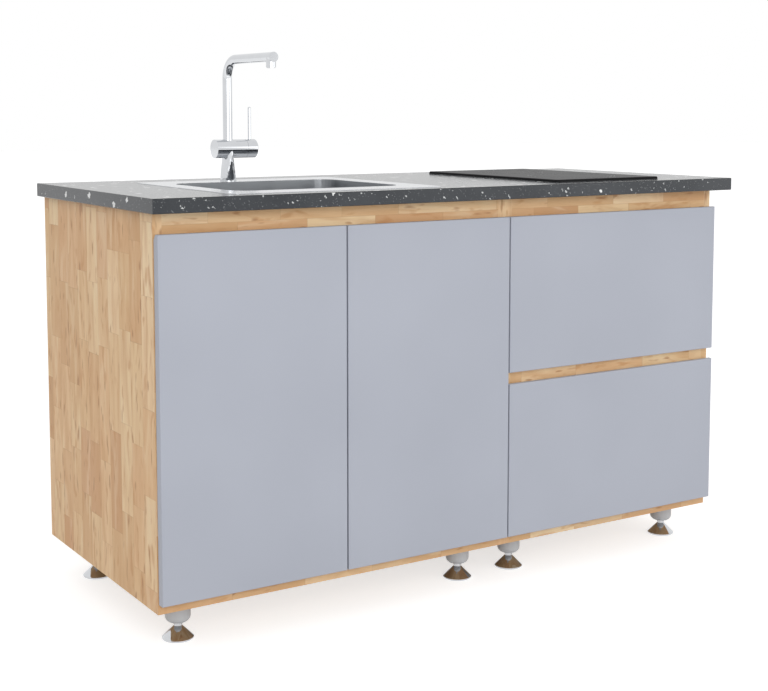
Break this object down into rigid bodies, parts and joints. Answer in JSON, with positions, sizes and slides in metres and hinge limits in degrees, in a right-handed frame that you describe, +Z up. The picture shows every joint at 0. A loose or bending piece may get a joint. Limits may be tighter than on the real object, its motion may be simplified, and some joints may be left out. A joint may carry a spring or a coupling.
{
  "type": "kitchen base cabinet",
  "caption": "Kitchen base unit with hinged doors, drawers on telescopic runners, a speckled worktop, an inset sink with a swivel tap, a glass hob and levelling feet.",
  "frame": {"origin": "on the floor under the middle of the worktop", "axes": "+X to the right along the fronts, +Y to the wall behind, +Z up"},
  "size_m": [1.446, 0.631, 1.1352],
  "materials": {
    "finger_jointed_wood": "clear matt lacquer over finger-jointed staves",
    "front_lacquer": "matt blue-grey lacquer on board",
    "speckled_stone": "polished, with pale flecks",
    "sink_steel": "satin",
    "polished_chrome": "polished",
    "hob_glass": "polished black glass ceramic",
    "white_plastic": "smooth moulded",
    "grey_plastic": "satin moulded",
    "zinc_plated_steel": "bright zinc"
  },
  "bodies": {
    "carcass": {"sink_side_left": "finger_jointed_wood", "sink_side_right": "finger_jointed_wood", "sink_floor": "finger_jointed_wood", "sink_front_rail": "finger_jointed_wood", "sink_back_rail": "finger_jointed_wood", "sink_back_panel": "finger_jointed_wood", "drawer_side_left": "finger_jointed_wood", "drawer_side_right": "finger_jointed_wood", "drawer_floor": "finger_jointed_wood", "drawer_front_rail": "finger_jointed_wood", "drawer_mid_rail": "finger_jointed_wood", "drawer_back_rail": "finger_jointed_wood", "drawer_back_panel": "finger_jointed_wood", "connector_bolts": "zinc_plated_steel", "worktop": "speckled_stone", "sink_deck": "sink_steel", "sink_bowl": "sink_steel", "sink_clips": "zinc_plated_steel", "sink_waste": "polished_chrome", "bottle_trap": "white_plastic", "waste_pipe": "white_plastic", "tap_body": "polished_chrome", "tap_fixing_nut": "zinc_plated_steel", "hob_glass": "hob_glass", "hob_housing": "zinc_plated_steel", "hinge_arms": "zinc_plated_steel", "runner_outers": "zinc_plated_steel", "leg_sleeves": "grey_plastic"},
    "left_door": {"door_left": "front_lacquer", "hinge_cups_left": "zinc_plated_steel"},
    "left_hinge_links": {"hinge_links_left": "zinc_plated_steel"},
    "right_door": {"door_right": "front_lacquer", "hinge_cups_right": "zinc_plated_steel"},
    "right_hinge_links": {"hinge_links_right": "zinc_plated_steel"},
    "upper_drawer": {"upper_front": "front_lacquer", "upper_box_sides": "finger_jointed_wood", "upper_box_ends": "finger_jointed_wood", "upper_base": "finger_jointed_wood", "upper_runner_inners": "zinc_plated_steel"},
    "upper_runners": {"upper_runner_middles": "zinc_plated_steel"},
    "lower_drawer": {"lower_front": "front_lacquer", "lower_box_sides": "finger_jointed_wood", "lower_box_ends": "finger_jointed_wood", "lower_base": "finger_jointed_wood", "lower_runner_inners": "zinc_plated_steel"},
    "lower_runners": {"lower_runner_middles": "zinc_plated_steel"},
    "spout": {"tap_spout": "polished_chrome", "tap_aerator": "zinc_plated_steel"},
    "end_cap": {"tap_end_cap": "polished_chrome"},
    "lever": {"tap_lever": "polished_chrome"},
    "basket": {"strainer_basket": "sink_steel"},
    "levelling_foot_1": {"foot_1": "polished_chrome"},
    "levelling_foot_2": {"foot_2": "polished_chrome"},
    "levelling_foot_3": {"foot_3": "polished_chrome"},
    "levelling_foot_4": {"foot_4": "polished_chrome"},
    "levelling_foot_5": {"foot_5": "polished_chrome"},
    "levelling_foot_6": {"foot_6": "polished_chrome"},
    "levelling_foot_7": {"foot_7": "polished_chrome"},
    "levelling_foot_8": {"foot_8": "polished_chrome"}
  },
  "joints": [
    {"name": "left_door_hinge", "type": "hinge", "parent": "carcass", "child": "left_door", "pos_m": [-0.7015, -0.293, 0.4455], "axis": [0, 0, -1], "range_deg": [0, 92]},
    {"name": "left_link_hinge", "type": "hinge", "parent": "carcass", "child": "left_hinge_links", "pos_m": [-0.673, -0.2858, 0.4455], "axis": [0, 0, 1], "range_deg": [0, 46]},
    {"name": "right_door_hinge", "type": "hinge", "parent": "carcass", "child": "right_door", "pos_m": [0.0855, -0.293, 0.4455], "axis": [0, 0, 1], "range_deg": [0, 92]},
    {"name": "right_link_hinge", "type": "hinge", "parent": "carcass", "child": "right_hinge_links", "pos_m": [0.057, -0.2858, 0.4455], "axis": [0, 0, -1], "range_deg": [0, 46]},
    {"name": "upper_drawer_slide", "type": "slide", "parent": "carcass", "child": "upper_drawer", "axis": [0, -1, 0], "range_m": [0, 0.45]},
    {"name": "upper_runner_slide", "type": "slide", "parent": "carcass", "child": "upper_runners", "axis": [0, -1, 0], "range_m": [0, 0.225]},
    {"name": "lower_drawer_slide", "type": "slide", "parent": "carcass", "child": "lower_drawer", "axis": [0, -1, 0], "range_m": [0, 0.45]},
    {"name": "lower_runner_slide", "type": "slide", "parent": "carcass", "child": "lower_runners", "axis": [0, -1, 0], "range_m": [0, 0.225]},
    {"name": "spout_swivel", "type": "hinge", "parent": "carcass", "child": "spout", "pos_m": [-0.34, 0.164, 0.9517], "axis": [0, 0, 1], "range_deg": [-100, 100]},
    {"name": "mixer_turn", "type": "hinge", "parent": "carcass", "child": "end_cap", "pos_m": [-0.297, 0.164, 0.9302], "axis": [1, 0, 0], "range_deg": [-45, 45]},
    {"name": "lever_tilt", "type": "hinge", "parent": "end_cap", "child": "lever", "pos_m": [-0.2866, 0.164, 0.9302], "axis": [0, 1, 0], "range_deg": [0, 16]},
    {"name": "basket_lift", "type": "slide", "parent": "carcass", "child": "basket", "axis": [0, 0, 1], "range_m": [0, 0.06]},
    {"name": "foot_1_screw", "type": "hinge", "parent": "carcass", "child": "levelling_foot_1", "pos_m": [-0.638, -0.2075, 0.02], "axis": [0, 0, 1], "continuous": true},
    {"name": "foot_2_screw", "type": "hinge", "parent": "carcass", "child": "levelling_foot_2", "pos_m": [0.022, -0.2075, 0.02], "axis": [0, 0, 1], "continuous": true},
    {"name": "foot_3_screw", "type": "hinge", "parent": "carcass", "child": "levelling_foot_3", "pos_m": [0.162, -0.2075, 0.02], "axis": [0, 0, 1], "continuous": true},
    {"name": "foot_4_screw", "type": "hinge", "parent": "carcass", "child": "levelling_foot_4", "pos_m": [0.622, -0.2075, 0.02], "axis": [0, 0, 1], "continuous": true},
    {"name": "foot_5_screw", "type": "hinge", "parent": "carcass", "child": "levelling_foot_5", "pos_m": [-0.638, 0.2225, 0.02], "axis": [0, 0, 1], "continuous": true},
    {"name": "foot_6_screw", "type": "hinge", "parent": "carcass", "child": "levelling_foot_6", "pos_m": [0.022, 0.2225, 0.02], "axis": [0, 0, 1], "continuous": true},
    {"name": "foot_7_screw", "type": "hinge", "parent": "carcass", "child": "levelling_foot_7", "pos_m": [0.162, 0.2225, 0.02], "axis": [0, 0, 1], "continuous": true},
    {"name": "foot_8_screw", "type": "hinge", "parent": "carcass", "child": "levelling_foot_8", "pos_m": [0.622, 0.2225, 0.02], "axis": [0, 0, 1], "continuous": true}
  ],
  "couplings": [
    {"joint": "left_link_hinge", "follows": "left_door_hinge", "ratio": 0.489},
    {"joint": "right_link_hinge", "follows": "right_door_hinge", "ratio": 0.489},
    {"joint": "upper_runner_slide", "follows": "upper_drawer_slide", "ratio": 0.5},
    {"joint": "lower_runner_slide", "follows": "lower_drawer_slide", "ratio": 0.5}
  ]
}
